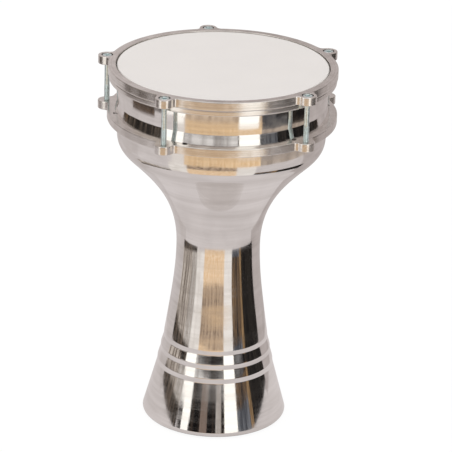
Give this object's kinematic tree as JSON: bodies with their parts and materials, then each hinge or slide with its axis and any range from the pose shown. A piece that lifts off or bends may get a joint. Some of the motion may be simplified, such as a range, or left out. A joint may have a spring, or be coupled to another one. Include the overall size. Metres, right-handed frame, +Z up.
{
  "type": "goblet drum",
  "caption": "Goblet drum with a polished cast aluminium body and a white film head, pulled down over the bearing edge by a hoop and socket head tuning bolts.",
  "frame": {"origin": "on the drum's axis, in the plane of the foot's rim, where the drum stands on the floor", "axes": "+Z up along the axis towards the head; +Y towards tuning bolt 1"},
  "size_m": [0.251, 0.2505, 0.39],
  "materials": {
    "polished_aluminium": "cast, turned and mirror polished",
    "turned_aluminium": "turned, satin faces",
    "rolled_aluminium": "rolled, bright",
    "resin": "clear amber casting resin",
    "white_film": "white satin polyester film",
    "zinc_plated_steel": "bright zinc plate, slightly blue"
  },
  "bodies": {
    "drum": {"shell": "polished_aluminium", "anchor_ring": "turned_aluminium", "head_film": "white_film"},
    "hoop": {"tension_hoop": "turned_aluminium", "flesh_hoop": "rolled_aluminium", "head_resin": "resin", "head_collar": "white_film"},
    "bolt_1": {"tension_bolt_1": "zinc_plated_steel"},
    "bolt_2": {"tension_bolt_2": "zinc_plated_steel"},
    "bolt_3": {"tension_bolt_3": "zinc_plated_steel"},
    "bolt_4": {"tension_bolt_4": "zinc_plated_steel"},
    "bolt_5": {"tension_bolt_5": "zinc_plated_steel"}
  },
  "joints": [
    {"name": "hoop_travel", "type": "slide", "parent": "drum", "child": "hoop", "axis": [0, 0, 1], "range_m": [-0.0015, 0.002], "deforming": ["head_collar"]},
    {"name": "bolt_1_turn", "type": "hinge", "parent": "hoop", "child": "bolt_1", "pos_m": [0, 0.1221, 0.3867], "axis": [0, 0, 1], "range_deg": [-540.5, 720.5]},
    {"name": "bolt_2_turn", "type": "hinge", "parent": "hoop", "child": "bolt_2", "pos_m": [-0.11612, 0.03773, 0.3867], "axis": [0, 0, 1], "range_deg": [-540.5, 720.5]},
    {"name": "bolt_3_turn", "type": "hinge", "parent": "hoop", "child": "bolt_3", "pos_m": [-0.07177, -0.09878, 0.3867], "axis": [0, 0, 1], "range_deg": [-540.5, 720.5]},
    {"name": "bolt_4_turn", "type": "hinge", "parent": "hoop", "child": "bolt_4", "pos_m": [0.07177, -0.09878, 0.3867], "axis": [0, 0, 1], "range_deg": [-540.5, 720.5]},
    {"name": "bolt_5_turn", "type": "hinge", "parent": "hoop", "child": "bolt_5", "pos_m": [0.11612, 0.03773, 0.3867], "axis": [0, 0, 1], "range_deg": [-540.5, 720.5]}
  ],
  "couplings": [
    {"joint": "bolt_1_turn", "follows": "hoop_travel", "rad_per_m": 6283.2},
    {"joint": "bolt_2_turn", "follows": "hoop_travel", "rad_per_m": 6283.2},
    {"joint": "bolt_3_turn", "follows": "hoop_travel", "rad_per_m": 6283.2},
    {"joint": "bolt_4_turn", "follows": "hoop_travel", "rad_per_m": 6283.2},
    {"joint": "bolt_5_turn", "follows": "hoop_travel", "rad_per_m": 6283.2}
  ]
}
